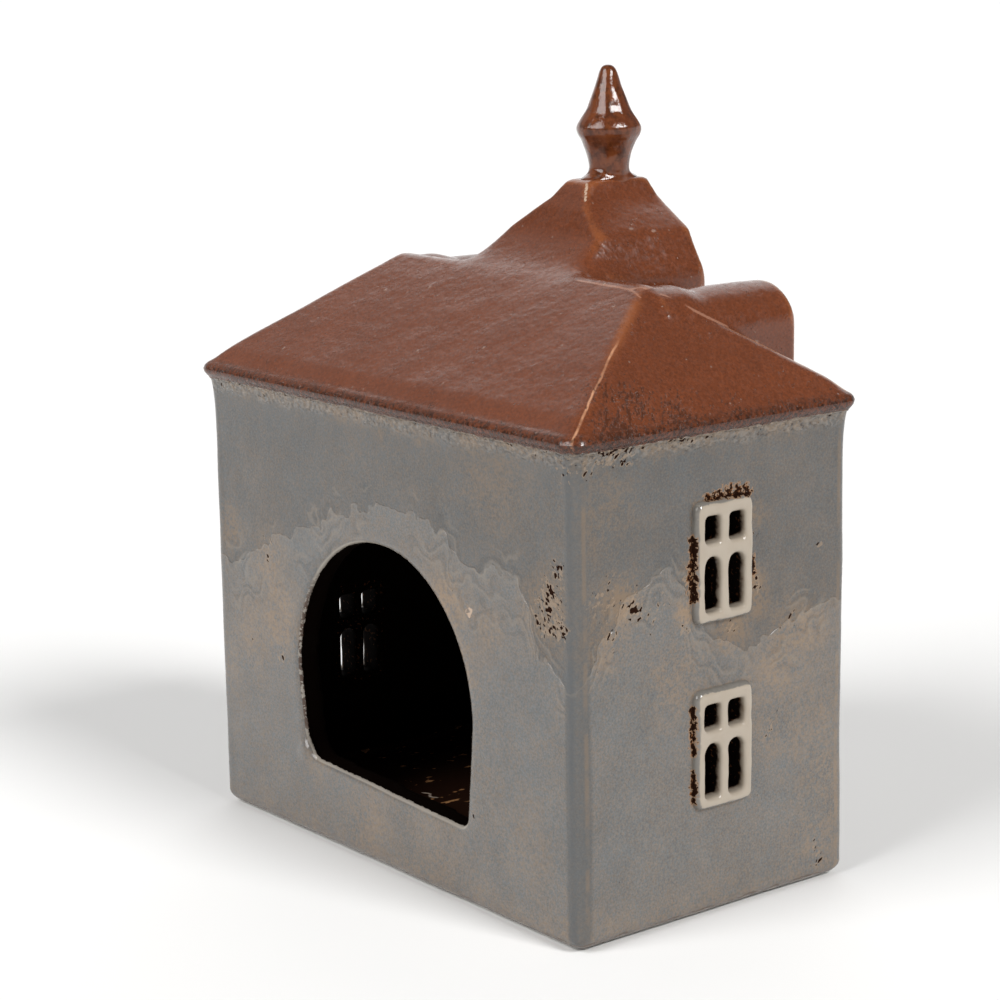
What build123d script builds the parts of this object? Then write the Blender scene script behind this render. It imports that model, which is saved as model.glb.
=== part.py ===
from build123d import *
import os

# Tealight house: a hollow glazed stoneware house, lit from inside by one tealight.
# Millimetres, +Z up, +X along the ridge. The arch faces -Y and the facade faces +Y.
# The origin lies under the middle of the house, on the surface that it stands on.

# House body
house_length = 150.0
house_depth = 85.0
wall_thickness = 6.5
floor_thickness = 6.0
wall_top = 118.2
corner_radius = 1.8
foot_radius = 2.5

# Arch that the tealight goes in by
arch_half_width = 36.8
arch_spring_height = 46.0
arch_rise = 38.5
arch_sill_height = 21.0
arch_sill_drop = 1.2
arch_foot_inset = 2.8
arch_shift = -1.0
arch_left_corner_radius = 7.0
arch_right_corner_radius = 3.0
arch_rim_radius = 1.2

# Hipped roof
eave_overhang = 1.8
eave_cove_height = 2.2
eave_lip_height = 1.6
roof_rise = 25.8
hip_run = 26.3
ridge_width = 2.4
ridge_shift = 2.1
roof_thickness = 6.5
attic_share = 0.94

# Round-topped dormers
dormer_radius = 10.8
dormer_end_gap = 28.0
dormer_rise = 25.0
dormer_thickness = 4.5
dormer_edge_radius = 1.4

# Bell-shaped tower roof over the middle of the facade
tower_half_width = 23.6
tower_rise = 21.5
tower_top_half_width = 6.7
tower_axis_setback = 10.8
tower_thickness = 4.5
tower_corner_radius = 1.8
tower_rise_shares = (0, 0.43, 0.62, 0.80, 1)
tower_side_shares = (0, 0.27, 0.51, 0.80, 1)
tower_back_shares = (0, 0.47, 0.70, 0.89, 1)
tower_front_shares = (0, 0, 0.42, 0.74, 1)

# Finial on the tower
finial_height = 28.9
finial_sides = 8
finial_foot_radius = 6.4
finial_neck_radius = 5.5
finial_neck_height = 3.4
finial_bulb_radius = 8.5
finial_bulb_height = 13.3
finial_tip_radius = 0.8
finial_cone_radius = 2.0
finial_tip_height = 1.8
tenon_radius = 2.2
tenon_length = 2.6
tenon_clearance = 0.1

# Cast windows, two small panes over two tall round-headed ones
window_width = 17.6
window_height = 28.7
window_stile = 2.3
window_mullion = 2.1
window_top_rail = 3.1
window_transom = 2.9
window_bottom_rail = 2.0
window_upper_pane = 6.9
window_corner_radius = 1.7
window_edge_radius = 0.7
pane_corner_radius = 1.2
pane_head_share = 0.9
lower_row_height = 41.9
upper_row_drop = 31.0
right_window_shift = 1.6
left_window_shift = -1.6
tower_window_sill = 2.05

# Small windows in the dormers
attic_window_width = 10.6
attic_window_height = 15.2
attic_stile = 1.6
attic_mullion = 1.4
attic_top_rail = 1.8
attic_transom = 1.6
attic_bottom_rail = 1.4
attic_upper_pane = 3.6
attic_window_sill = 3.8

# Front door, with two lights over two sunk panels
door_width = 22.0
door_height = 40.0
door_bottom = 3.5
door_head_radius = 8.0
door_frame = 2.4
door_leaf_sink = 0.6
door_panel_sink = 1.1
door_rail = 2.2
door_lock_rail = 3.2
door_mullion = 2.0
door_light_height = 9.5
door_panel_radius = 0.8
door_knob_radius = 1.0

# Tealight, at rest to the right of the middle and behind it, seen from the arch
cup_radius = 18.5
cup_height = 16.0
cup_wall = 0.4
cup_bead_radius = 0.5
wax_clearance = 0.2
wax_height = 13.6
wick_radius = 0.7
wick_stand_out = 5.0
sustainer_radius = 6.0
sustainer_thickness = 0.4
sustainer_collar_height = 3.0
sustainer_collar_wall = 0.4
tealight_right = 10.0
tealight_behind = 8.0

# Cuts run this far past the faces that they open
overrun = 1.0

# Worked out from the sizes above
half_length = house_length / 2
half_depth = house_depth / 2
inner_half_length = half_length - wall_thickness
inner_half_depth = half_depth - wall_thickness
eave_height = wall_top + eave_cove_height
upper_row_height = wall_top - upper_row_drop
slope_foot_height = eave_height + eave_lip_height
ridge_height = slope_foot_height + roof_rise
ridge_half_length = half_length - hip_run
dormer_spread = half_length - dormer_end_gap
dormer_height = slope_foot_height + dormer_rise
tower_top_height = ridge_height + tower_rise
tower_axis_depth = half_depth - tower_axis_setback
dormer_window_middle = slope_foot_height + attic_window_sill + attic_window_height / 2
tower_window_middle = slope_foot_height + tower_window_sill + window_height / 2
right_wall = Plane((half_length, 0, 0), x_dir=(0, 1, 0), z_dir=(1, 0, 0)).location
left_wall = Plane((-half_length, 0, 0), x_dir=(0, -1, 0), z_dir=(-1, 0, 0)).location
facade = Plane((0, half_depth, 0), x_dir=(-1, 0, 0), z_dir=(0, 1, 0)).location
arch_side = Plane((0, -half_depth, 0), x_dir=(1, 0, 0), z_dir=(0, -1, 0)).location


def both(value):
    """The limits at one distance to each side of zero."""
    return -value, value


def between(start, end, share):
    """The value at a share of the way from start to end."""
    return start + share * (end - start)


def block(x, y, z):
    """A box between pairs of x, y and z limits."""
    box = Box(x[1] - x[0], y[1] - y[0], z[1] - z[0])
    return Pos((x[0] + x[1]) / 2, (y[0] + y[1]) / 2, (z[0] + z[1]) / 2) * box


def level(x, y, z, radius):
    """A level rectangle between pairs of x and y limits, with round corners."""
    middle = Pos((x[0] + x[1]) / 2, (y[0] + y[1]) / 2, z)
    return middle * RectangleRounded(x[1] - x[0], y[1] - y[0], radius)


def stack(sections):
    """A solid through level sections, straight from each to the next."""
    return loft([section.face() for section in sections], ruled=True)


def through(face, thickness):
    """Cuts a face drawn on a wall's outer side right through that wall."""
    return Pos(0, 0, -thickness - overrun) * extrude(face, amount=thickness + 2 * overrun)


def arch_face():
    """The arch, seen from the arch side: half an ellipse over a tapered foot."""
    spring = both(arch_half_width)
    left = spring[0] + arch_foot_inset
    right = spring[1] - arch_foot_inset
    left_foot = (left, arch_sill_height + arch_sill_drop - arch_spring_height)
    right_foot = (right, arch_sill_height - arch_sill_drop - arch_spring_height)
    crown = Ellipse(arch_half_width, arch_rise)
    crown &= Rectangle(2 * arch_half_width, arch_rise, align=(Align.CENTER, Align.MIN))
    foot = make_face(Polyline((spring[0], 0), left_foot, right_foot, (spring[1], 0), close=True))
    foot = fillet(foot.vertices().sort_by(Axis.Y)[0], arch_right_corner_radius)
    foot = fillet(foot.vertices().sort_by_distance(left_foot)[0], arch_left_corner_radius)
    return Pos(arch_shift, arch_spring_height) * (crown + foot)


def pane_faces(width, height, stile, mullion, top, transom, bottom, upper):
    """The four panes of a window, drawn about its middle."""
    pane = (width - 2 * stile - mullion) / 2
    lower = height - top - transom - bottom - upper
    small = RectangleRounded(pane, upper, pane_corner_radius * pane / upper)
    tall = Rectangle(pane, lower)
    tall = fillet(tall.vertices().group_by(Axis.Y)[-1], pane_head_share * pane / 2)
    tall = fillet(tall.vertices().group_by(Axis.Y)[0], pane_corner_radius)
    upper_middle = height / 2 - top - upper / 2
    lower_middle = bottom + lower / 2 - height / 2
    sides = both((pane + mullion) / 2)
    return Sketch() + [
        Pos(side, middle) * shape
        for side in sides
        for middle, shape in ((upper_middle, small), (lower_middle, tall))
    ]


def window_frame(width, height, panes):
    """A window frame that stands proud of the wall by as much as the eave does."""
    frame = extrude(RectangleRounded(width, height, window_corner_radius), amount=eave_overhang)
    frame = fillet(frame.faces().sort_by(Axis.Z)[-1].edges(), window_edge_radius)
    return frame - extrude(panes, amount=eave_overhang)


def floor_slab():
    """The floor, which the walls stand on."""
    slab = block(both(half_length), both(half_depth), (0, floor_thickness))
    slab = fillet(slab.edges().filter_by(Axis.Z), corner_radius)
    return fillet(slab.faces().sort_by(Axis.Z)[0].edges(), foot_radius)


def long_wall(side):
    """A long wall on the arch side, -1, or the facade side, 1."""
    y = sorted((side * inner_half_depth, side * half_depth))
    wall = block(both(half_length), y, (floor_thickness, wall_top))
    outer = wall.edges().filter_by(Axis.Z).sort_by(Axis.Y)
    return fillet(outer[:2] if side < 0 else outer[2:], corner_radius)


def arch_wall():
    """The wall with the arch, whose outer rim is rounded."""
    wall = long_wall(-1) - arch_side * through(arch_face(), wall_thickness)
    rim = wall.faces().sort_by(Axis.Y)[0].inner_wires()[0].edges()
    return fillet(rim, arch_rim_radius)


def end_wall(side):
    """A short wall between the long ones, at the left, -1, or the right, 1."""
    x = sorted((side * inner_half_length, side * half_length))
    return block(x, both(inner_half_depth), (floor_thickness, wall_top))


def roof_body():
    """The hipped roof as if it were solid: a cove under the eave, a lip and four slopes."""
    eave = both(half_length + eave_overhang), both(half_depth + eave_overhang)
    eave_radius = corner_radius + eave_overhang
    ridge = ridge_shift - ridge_width / 2, ridge_shift + ridge_width / 2
    return stack([
        level(both(half_length), both(half_depth), wall_top, corner_radius),
        level(*eave, eave_height, eave_radius),
        level(*eave, slope_foot_height, eave_radius),
        level(both(ridge_half_length), ridge, ridge_height, ridge_width / 3),
    ])


def attic_hollow():
    """The hollow under the slopes, which opens into the room below."""
    top = wall_top + attic_share * (ridge_height - roof_thickness - wall_top)
    x = between(inner_half_length, ridge_half_length, attic_share)
    back = between(-inner_half_depth, ridge_shift, attic_share)
    front = between(inner_half_depth, ridge_shift, attic_share)
    foot = both(inner_half_length), both(inner_half_depth)
    corner = (front - back) / 3
    return stack([
        level(*foot, wall_top - overrun, corner),
        level(*foot, wall_top, corner),
        level(both(x), (back, front), top, corner),
    ])


def dormer_body(side, inset):
    """A dormer as if it were solid, or its hollow when it is inset."""
    radius = dormer_radius - inset
    spring = dormer_height - dormer_radius
    y = ridge_shift + inset, half_depth - inset
    bottom = wall_top - inset
    x = side * dormer_spread - radius, side * dormer_spread + radius
    barrel = Rot(90, 0, 0) * Cylinder(radius, y[1] - y[0])
    barrel = Pos(side * dormer_spread, (y[0] + y[1]) / 2, spring) * barrel
    return barrel + block(x, y, (bottom, spring))


def dormer(side):
    """A hollow round-topped dormer on the facade slope."""
    body = dormer_body(side, 0)
    front = body.faces().sort_by(Axis.Y)[-1].edges().sort_by(Axis.Z)[1:]
    body = fillet(front, dormer_edge_radius)
    shell = body - roof_body() - tower_body(0) - dormer_body(side, dormer_thickness)
    cut = through(attic_panes, dormer_thickness)
    return shell - on_facade(side * dormer_spread, dormer_window_middle, cut)


def tower_body(inset):
    """The tower as if it were solid, or its hollow when it is inset."""
    base = wall_top - inset, ridge_height - inset
    top = tower_top_height - inset
    half = tower_half_width - inset, tower_top_half_width - inset / 2
    back = ridge_shift + inset, tower_axis_depth - half[1]
    front = half_depth - inset, tower_axis_depth + half[1]
    lowest = level(both(half[0]), (back[0], front[0]), base[0], tower_corner_radius)
    shares = zip(tower_rise_shares, tower_side_shares, tower_back_shares, tower_front_shares)
    return stack([lowest] + [
        level(
            both(between(*half, side)),
            (between(*back, rear), between(*front, fore)),
            between(base[1], top, rise),
            tower_corner_radius,
        )
        for rise, side, rear, fore in shares
    ])


def tower():
    """The hollow tower roof, with a socket for the finial."""
    shell = tower_body(0) - roof_body() - tower_body(tower_thickness)
    socket = Cylinder(
        tenon_radius + tenon_clearance,
        tenon_length + tenon_clearance,
        align=(Align.CENTER, Align.CENTER, Align.MAX),
    )
    shell -= Pos(0, tower_axis_depth, tower_top_height) * socket
    return shell - on_facade(0, tower_window_middle, through(panes, tower_thickness))


def hip_roof():
    """The hipped roof, hollow, and open to the hollows of the tower and the dormers."""
    roof = roof_body() - attic_hollow() - tower_body(tower_thickness)
    for side in (-1, 1):
        roof -= dormer_body(side, dormer_thickness)
    return roof


def finial():
    """A faceted finial on a round tenon."""
    outline = (
        (0, finial_foot_radius),
        (finial_neck_height, finial_neck_radius),
        (finial_bulb_height, finial_bulb_radius),
        (finial_height - finial_tip_height, finial_cone_radius),
        (finial_height, finial_tip_radius),
    )
    turned = Rot(0, 0, 180 / finial_sides)
    body = stack([Pos(0, 0, z) * turned * RegularPolygon(r, finial_sides) for z, r in outline])
    tenon = Cylinder(tenon_radius, tenon_length, align=(Align.CENTER, Align.CENTER, Align.MAX))
    return Pos(0, tower_axis_depth, tower_top_height) * (body + tenon)


def door_faces():
    """The door's outline, its leaf inside the frame, its two lights and its two panels."""
    bottom = Align.CENTER, Align.MIN
    outline = Rectangle(door_width, door_height, align=bottom)
    outline = fillet(outline.vertices().group_by(Axis.Y)[-1], door_head_radius)
    leaf = Rectangle(door_width - 2 * door_frame, door_height - door_frame, align=bottom)
    leaf = fillet(leaf.vertices().group_by(Axis.Y)[-1], door_head_radius - door_frame)
    width = (door_width - 2 * door_frame - 2 * door_rail - door_mullion) / 2
    light_bottom = door_height - door_frame - door_rail - door_light_height
    panel_height = light_bottom - door_lock_rail - door_rail
    light = Rectangle(width, door_light_height, align=bottom)
    light = fillet(light.vertices(), door_panel_radius)
    panel = Rectangle(width, panel_height, align=bottom)
    panel = fillet(panel.vertices(), door_panel_radius)
    sides = both((width + door_mullion) / 2)
    lights = Sketch() + [Pos(side, light_bottom) * light for side in sides]
    panels = Sketch() + [Pos(side, door_rail) * panel for side in sides]
    return outline, leaf, lights, panels


def door():
    """The door leaf and its frame, cast in one, with a small round knob."""
    outline, leaf, lights, panels = door_faces()
    body = extrude(outline, amount=eave_overhang)
    body = fillet(body.faces().sort_by(Axis.Z)[-1].edges(), window_edge_radius)
    body -= Pos(0, 0, eave_overhang - door_leaf_sink) * extrude(leaf, amount=overrun)
    body -= Pos(0, 0, eave_overhang - door_panel_sink) * extrude(panels, amount=overrun)
    body -= extrude(lights, amount=eave_overhang)
    knob_x = door_width / 2 - door_frame - door_rail / 2
    knob_y = door_height - door_frame - door_rail - door_light_height - door_lock_rail / 2
    knob = Cylinder(door_knob_radius, door_leaf_sink, align=(Align.CENTER, Align.CENTER, Align.MIN))
    return body + Pos(knob_x, knob_y, eave_overhang - door_leaf_sink) * knob


def tealight():
    """The cup, the wax, the wick and its sustainer, standing on the floor."""
    stand = Align.CENTER, Align.CENTER, Align.MIN
    inside = cup_radius - cup_wall
    cup = Cylinder(cup_radius, cup_height - cup_bead_radius, align=stand)
    cup += Pos(0, 0, cup_height - cup_bead_radius) * Torus(cup_radius, cup_bead_radius)
    cup -= Pos(0, 0, cup_wall) * Cylinder(inside, cup_height, align=stand)
    plate = Cylinder(sustainer_radius, sustainer_thickness, align=stand)
    collar = Cylinder(wick_radius + sustainer_collar_wall, sustainer_collar_height, align=stand)
    bore = Cylinder(wick_radius, sustainer_collar_height, align=stand)
    sustainer = plate + collar - Pos(0, 0, sustainer_thickness) * bore
    wick_length = wax_height + wick_stand_out - sustainer_thickness
    wick = Pos(0, 0, sustainer_thickness) * Cylinder(wick_radius, wick_length, align=stand)
    wax = Cylinder(inside - wax_clearance, wax_height, align=stand) - sustainer - wick
    on_floor = Pos(tealight_right, tealight_behind, floor_thickness)
    in_cup = on_floor * Pos(0, 0, cup_wall)
    return {
        "tealight_cup": on_floor * cup,
        "tealight_wax": in_cup * wax,
        "tealight_wick": in_cup * wick,
        "wick_sustainer": in_cup * sustainer,
    }


def on_facade(x, z, piece):
    """Moves a piece drawn on a wall to the facade, its middle at x and z."""
    return facade * Pos(-x, z, 0) * piece


panes = pane_faces(
    window_width, window_height, window_stile, window_mullion,
    window_top_rail, window_transom, window_bottom_rail, window_upper_pane,
)
attic_panes = pane_faces(
    attic_window_width, attic_window_height, attic_stile, attic_mullion,
    attic_top_rail, attic_transom, attic_bottom_rail, attic_upper_pane,
)
window = window_frame(window_width, window_height, panes)
attic_window = window_frame(attic_window_width, attic_window_height, attic_panes)
window_rows = {"lower": lower_row_height, "upper": upper_row_height}

parts = {"floor_slab": floor_slab(), "arch_wall": arch_wall()}

# End walls, each with a window in both rows
for name, side, place, shift in (
    ("right", 1, right_wall, right_window_shift),
    ("left", -1, left_wall, -left_window_shift),
):
    wall = end_wall(side)
    for row, height in window_rows.items():
        spot = place * Pos(shift, height, 0)
        wall -= spot * through(panes, wall_thickness)
        parts[f"{name}_end_{row}_window"] = spot * window
    parts[f"{name}_end_wall"] = wall

# Facade, with a window in both rows under each dormer and one over the door
front = long_wall(1)
facade_windows = {
    f"facade_{name}_{row}_window": (side * dormer_spread, height)
    for name, side in (("left", -1), ("right", 1))
    for row, height in window_rows.items()
}
facade_windows["facade_middle_window"] = (0, upper_row_height)
for name, (x, z) in facade_windows.items():
    front -= on_facade(x, z, through(panes, wall_thickness))
    parts[name] = on_facade(x, z, window)
front -= on_facade(0, door_bottom, through(door_faces()[2], wall_thickness))
parts["facade_wall"] = front
parts["front_door"] = on_facade(0, door_bottom, door())

# Roof, dormers, tower and finial
parts["hip_roof"] = hip_roof()
for name, side in (("left", -1), ("right", 1)):
    parts[f"{name}_dormer"] = dormer(side)
    parts[f"{name}_dormer_window"] = on_facade(
        side * dormer_spread, dormer_window_middle, attic_window
    )
parts["tower_roof"] = tower()
parts["tower_window"] = on_facade(0, tower_window_middle, window)
parts["finial"] = finial()
parts.update(tealight())

os.makedirs("parts", exist_ok=True)
for name, piece in parts.items():
    export_step(piece, f"parts/{name}.step")
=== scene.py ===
"""A glazed stoneware house for a tealight, dressed round its construction model."""

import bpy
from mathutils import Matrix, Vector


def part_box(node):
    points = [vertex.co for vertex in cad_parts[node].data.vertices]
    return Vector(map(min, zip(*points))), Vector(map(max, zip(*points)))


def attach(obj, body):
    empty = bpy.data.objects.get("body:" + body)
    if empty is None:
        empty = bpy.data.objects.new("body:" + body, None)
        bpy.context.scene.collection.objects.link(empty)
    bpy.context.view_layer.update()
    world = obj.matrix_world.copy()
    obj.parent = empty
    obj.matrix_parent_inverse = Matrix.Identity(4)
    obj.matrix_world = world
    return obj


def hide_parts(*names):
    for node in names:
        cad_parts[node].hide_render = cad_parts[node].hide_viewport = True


bl_info = {
    "name": "Tealight House",
    "version": (1, 0, 0),
    "blender": (4, 5, 0),
    "location": "3D View > Sidebar > Tealight House",
    "description": "Makes the glazed walls, roof, windows, door, finial and tealight of a house",
    "category": "Object",
}

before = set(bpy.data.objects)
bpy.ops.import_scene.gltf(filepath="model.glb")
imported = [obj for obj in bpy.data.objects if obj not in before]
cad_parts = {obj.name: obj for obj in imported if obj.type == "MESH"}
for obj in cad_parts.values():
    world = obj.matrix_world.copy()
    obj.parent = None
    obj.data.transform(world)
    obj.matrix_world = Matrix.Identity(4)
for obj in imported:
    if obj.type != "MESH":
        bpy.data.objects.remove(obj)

import math
from functools import partialmethod

import bmesh
import bpy
import numpy as np
from bpy.props import FloatProperty, FloatVectorProperty, IntProperty, PointerProperty
from mathutils import Matrix, Vector

MM = 0.001
LEAN = math.radians(50)
OPENING_DEPTH = 9 * MM
FRAME_DEPTH = 6.2 * MM
THIN_FRAME_DEPTH = 4.2 * MM
FRAME_SWELL = 0.32 * MM
FRAME_ROUNDS, DOOR_ROUNDS, FINIAL_ROUNDS = 26, 2, 7
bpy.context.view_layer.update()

# Where the construction model's faces lie, in millimetres
half_length, half_depth = (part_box("floor_slab")[1] / MM).xy
wall_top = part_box("arch_wall")[1].z / MM
inner_half_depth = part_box("facade_wall")[0].y / MM
eave_reach_x, eave_reach_y, ridge_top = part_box("hip_roof")[1] / MM

# Heights of the eaves' nose, of the line between the glazes and of the lip, and the ridge's ends
eave_line = 120.4
glaze_line = 117.8
lip_top = 122.0
ridge_end = 48.7
ridge_back = 2.1

# Clay pieces that fuse into the walls and into the roof
WALLS = ("floor_slab", "arch_wall", "facade_wall", "left_end_wall", "right_end_wall")
ROOF = ("hip_roof", "left_dormer", "right_dormer", "tower_roof")

# Windows by the clay piece that they are set in
SET_IN = {
    "right_end_wall": ("right_end_lower_window", "right_end_upper_window"),
    "left_end_wall": ("left_end_lower_window", "left_end_upper_window"),
    "facade_wall": (
        "facade_left_lower_window", "facade_left_upper_window",
        "facade_right_lower_window", "facade_right_upper_window",
        "facade_middle_window",
    ),
    "left_dormer": ("left_dormer_window",),
    "right_dormer": ("right_dormer_window",),
    "tower_roof": ("tower_window",),
}
THIN_SHELLS = ("left_dormer", "right_dormer", "tower_roof")
WINDOWS = [window for windows in SET_IN.values() for window in windows]

# Half the finial's outline, as (distance below the tip, radius)
FINIAL = (
    (0.1, 0.4), (0.5, 1.4), (2, 2.3), (5.2, 3.4), (8.3, 4.6), (11.5, 5.8), (14.5, 7.7), (16, 8.35),
    (17.7, 8.0), (19.3, 7.0), (22.4, 5.8), (25.4, 5.2), (26.9, 5.5), (27.8, 6.4), (28.5, 7.6),
    (29.4, 8.0), (30.4, 7.0), (31.6, 4.0),
)

# Where the second dip of glaze ends on each wall, as (place along the wall, height)
SECOND_DIP = {
    "arch": (
        (-75, 70), (-65, 68.5), (-54, 74.5), (-42, 80), (-31, 83.5), (-20, 89.5), (-3, 93.5),
        (15, 95), (21, 93.5), (27, 91), (29, 87), (38, 84), (48, 86.5), (55, 86), (59.5, 78),
        (61, 71), (66, 67), (75, 62),
    ),
    "right": (
        (-42.5, 62), (-38, 70), (-30, 80), (-22, 86), (-15, 87), (-10, 82), (-6, 74), (2, 66),
        (12, 64), (19, 67), (28, 70), (36, 71.5), (42.5, 72),
    ),
    "facade": (
        (-75, 70), (-60, 74), (-48, 66), (-30, 70), (-18, 81), (-6, 84), (8, 80), (22, 69),
        (38, 72), (52, 64), (64, 71), (75, 70),
    ),
    "left": ((-42.5, 70), (-32, 76), (-20, 71), (-8, 79), (6, 82), (18, 74), (30, 77), (42.5, 70)),
}

# Places where the glaze has pitted, as (x, y, z, radius, strength)
PITTED = (
    (75, 13, 79, 3.5, 0.8), (75, 12, 92, 3, 0.6), (75, 4, 71, 4, 0.7), (75, -10, 73, 4, 0.7),
    (75, -9.5, 84, 3, 0.6), (75, 17, 42, 3, 0.7), (75, 14, 28, 4, 0.4), (75, -33, 74, 4, 0.7),
    (69, -29, 129, 7, 0.8), (72, -22, 126, 9, 1.0), (76, -31, 121, 9, 1.2), (75, -12, 122, 9, 1.0),
    (76, 4, 121, 6, 0.8), (77, 20, 120, 5, 0.7), (77, 34, 120, 6, 0.7), (-76, -10, 122, 9, 0.8),
    (67, -42.5, 84, 5.5, 1.0), (69.5, -42.5, 90, 3.5, 0.9), (65, -42.5, 77, 5, 0.9),
    (69.5, -42.5, 77, 4, 1.1), (64, -42.5, 80, 7, 0.7), (-49.5, -42.5, 77, 3.5, 0.7),
    (-51, -42.5, 72, 3.5, 0.5), (-45.5, -42.5, 46.5, 2.5, 0.9), (27.5, -42.5, 75, 5, 0.55),
    (36, -42.5, 24, 2, 0.7),
    (-58, -42.5, 49, 5, 0.35), (-39, -42.5, 20, 6, 0.3), (73, -42.5, 114.5, 6, 0.6),
    (75, -40, 114, 4, 0.5), (75, -27, 81, 4.5, 0.75), (75, -24, 84, 3, 0.6),
    (75, 33.5, 85.5, 1.6, 0.8), (75, 24.5, 69, 4, 0.5), (75, 33, 7, 5, 0.55),
    (75, 18, 43, 4, 0.45), (75, -30, 16, 4, 0.35), (75, 40, 82, 3, 0.3),
    (75, -38, 66, 5, 0.35), (75, -33, 83, 10, 0.5), (75, -19, 79, 8, 0.5), (75, -26, 80, 4, 1.0),
    (-12, 42.5, 96, 5, 0.6), (26, 42.5, 60, 6, 0.6),
    (-60, 42.5, 30, 7, 0.5), (-75, 18, 88, 5, 0.7), (-75, -20, 30, 6, 0.5),
)

# Places where iron has stained the glaze tan, as (x, y, z, radius, strength)
STAINED = (
    (75, 13, 80, 4.5, 1.0), (75, 5, 71, 5, 1.0), (75, 13, 96, 4, 0.7), (75, -10, 76, 4.5, 0.9),
    (75, -30, 82, 8, 0.9), (75, 34, 28, 12, 0.5), (-45, -42.5, 62, 10, 0.7),
    (-68, -42.5, 78, 9, 0.8), (-30, -42.5, 22, 8, 0.5), (30, -42.5, 60, 12, 0.7),
    (44, -42.5, 72, 8, 0.5), (-72, -42.5, 40, 12, 0.5), (55, -42.5, 20, 16, 0.4),
    (28, -42.5, 75, 11, 0.8), (-50, -42.5, 72, 12, 0.6), (-58, -42.5, 50, 16, 0.5),
    (66, -42.5, 80, 12, 0.8), (75, -36, 73, 12, 0.6), (75, 13, 75, 6, 0.9),
    (75, 5, 70, 8, 0.9), (75, 26, 66, 14, 0.7), (75, 17, 42, 10, 0.5), (75, -9, 86, 4, 0.7),
    (75, 34, 12, 14, 0.5), (-30, 42.5, 84, 14, 0.7), (40, 42.5, 50, 16, 0.6),
    (-75, 0, 70, 16, 0.6), (45, -42.5, 110, 22, 0.5), (75, -34, 104, 14, 0.5),
    (-8, -42.5, 10, 18, 0.5), (20, -42.5, 12, 16, 0.4), (-46, -42.5, 56, 12, 0.7),
    (75, -12, 60, 14, 0.5), (75, 22, 58, 16, 0.6), (75, 30, 40, 16, 0.5),
)

# Strips where the glaze has burnt off beside the windows, as (start, end, radius)
BURNT = (
    ((75, -3, 102.2), (75, 2, 102.6), 0.9), ((75, 3, 102.8), (75, 9.5, 102.2), 1.4),
    ((75.6, -7.4, 93), (75.6, -7.6, 86), 1.0), ((75.6, -7.6, 86), (75.6, -7.5, 79.5), 1.2),
    ((75, 11.2, 86), (75, 11.4, 81.5), 1.1), ((75.6, -7.4, 52), (75.6, -7.4, 42), 0.8),
    ((75.6, -7.4, 36.5), (75.6, -7.3, 30), 0.8), ((-37.5, 42.5, 84), (-37.5, 42.5, 76), 1.1),
    ((-9.5, 42.5, 95), (-9.5, 42.5, 86), 1.0), ((57, 42.5, 52), (57, 42.5, 41), 1.0),
    ((-75, 8, 54), (-75, 8, 43), 1.1), ((11.8, 42.5, 30), (11.8, 42.5, 14), 0.9),
    ((40, 42.5, 102.8), (50, 42.5, 102.6), 1.0),
)

# Pale runs of glaze, which also stand for painted glints on the tower, the arch wall and the floor, as
# lines of points
DRIPS_AND_GLINTS = (
    ((4.7, 21.0, 168.9), (5.9, 19.6, 167.1), (7.3, 18.2, 165.0)),
    ((8.3, 24.0, 164.6), (9.1, 24.2, 163.7), (11.0, 24.0, 161.7), (10.1, 25.8, 162.9)),
    ((35.0, -42.9, 74.3), (36.1, -42.9, 73.3), (37.3, -42.9, 75.2), (36.0, -42.9, 75.6)),
    ((-30.5, -9.4, 6), (-28.4, -8.2, 6), (-26.4, -9.8, 6), (-24.6, -8.8, 6)),
)
# Painted highlight lines along the ridge, across its end and down the far hip, as lines of points
RIDGE_HIGHLIGHTS = (
    ((26.3, -0.3, 148.3), (34.7, -0.4, 148.2), (46.3, -0.9, 148.0), (51.0, -1.9, 146.7)),
    ((46.3, -0.9, 148.0), (49.2, 1.3, 148.2), (48.5, 6.6, 148.0)),
    ((51.8, 3.7, 147.0), (56.4, 10.6, 142.7), (58.5, 19.4, 138.2)),
)

# Settings


def length(name, description, mm):
    """A length that a user can change."""
    return FloatProperty(
        name=name, description=description, default=mm * MM, unit="LENGTH", precision=5, min=0
    )


def colour(name, description, value):
    """A glaze colour that a user can change."""
    return FloatVectorProperty(
        name=name, description=description, default=value, size=3, subtype="COLOR", min=0, max=1
    )


def share(name, description, value, most=1.0):
    """A plain number that a user can change."""
    return FloatProperty(name=name, description=description, default=value, min=0, max=most)


class ClaySettings(bpy.types.PropertyGroup):
    """How the clay is modelled."""

    shell_grain: length("Shell grain", "Size of the facets of the walls and roof", 0.75)
    cast_grain: length("Cast grain", "Size of the facets of windows, door and finial", 0.4)
    rounding: IntProperty(
        name="Rounding", description="How often the shell's edges are sponged", default=4, min=0
    )
    wave: length("Wave", "How far the walls bulge by hand work", 0.5)
    wave_size: length("Wave size", "Distance from bulge to bulge", 26)
    seat: length("Seat", "How far a window frame laps over its opening", 1.2)
    glaze: length("Glaze", "Thickness of the glaze on the outside", 0.35)
    lip: length("Lip", "How far the glaze builds out the lip of the eaves", 0.9)
    ridge_lift: length("Ridge lift", "How far the ridge stands above the model's", 0.8)
    tower_lean: length("Tower lean", "How far the tower stands to the right", 0.7)
    droop: length("Droop", "How far the nose of the eaves hangs", 1.1)
    cove: length("Cove", "How far the glaze builds out the hollow under the eaves", 1.1)
    dormer_sink: length("Dormer sink", "How far the dormers' tops lie below the model's", 0.8)


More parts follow.
